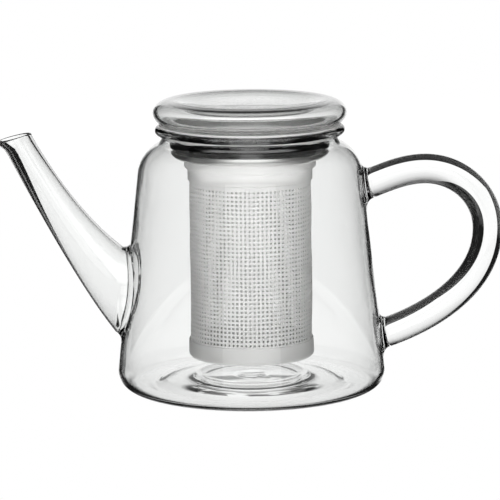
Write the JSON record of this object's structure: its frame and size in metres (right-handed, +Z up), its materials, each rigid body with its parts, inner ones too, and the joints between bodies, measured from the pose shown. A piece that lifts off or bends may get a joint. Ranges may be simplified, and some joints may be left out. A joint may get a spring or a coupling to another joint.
{
  "type": "teapot",
  "caption": "Clear glass teapot with a leaning body, curved spout, looped handle, a perforated steel infuser hung in the mouth and a dished glass lid.",
  "frame": {"origin": "on the table plane, on the axis of the body, under the middle of the foot", "axes": "+Z up, the spout points along -X and the handle along +X"},
  "size_m": [0.24, 0.1282, 0.1386],
  "materials": {
    "clear_glass": "clear, fire-polished",
    "polished_steel": "polished",
    "satin_steel": "satin"
  },
  "bodies": {
    "pot": {"pot_body": "clear_glass", "spout": "clear_glass", "handle": "clear_glass"},
    "infuser": {"infuser_collar": "polished_steel", "infuser_sleeve": "satin_steel", "infuser_base": "satin_steel"},
    "lid": {"lid": "clear_glass"}
  },
  "joints": [
    {"name": "infuser_lift", "type": "slide", "parent": "pot", "child": "infuser", "axis": [0, 0, 1], "range_m": [0, 0.13]},
    {"name": "lid_lift", "type": "slide", "parent": "infuser", "child": "lid", "axis": [0, 0, 1], "range_m": [0, 0.06]}
  ]
}
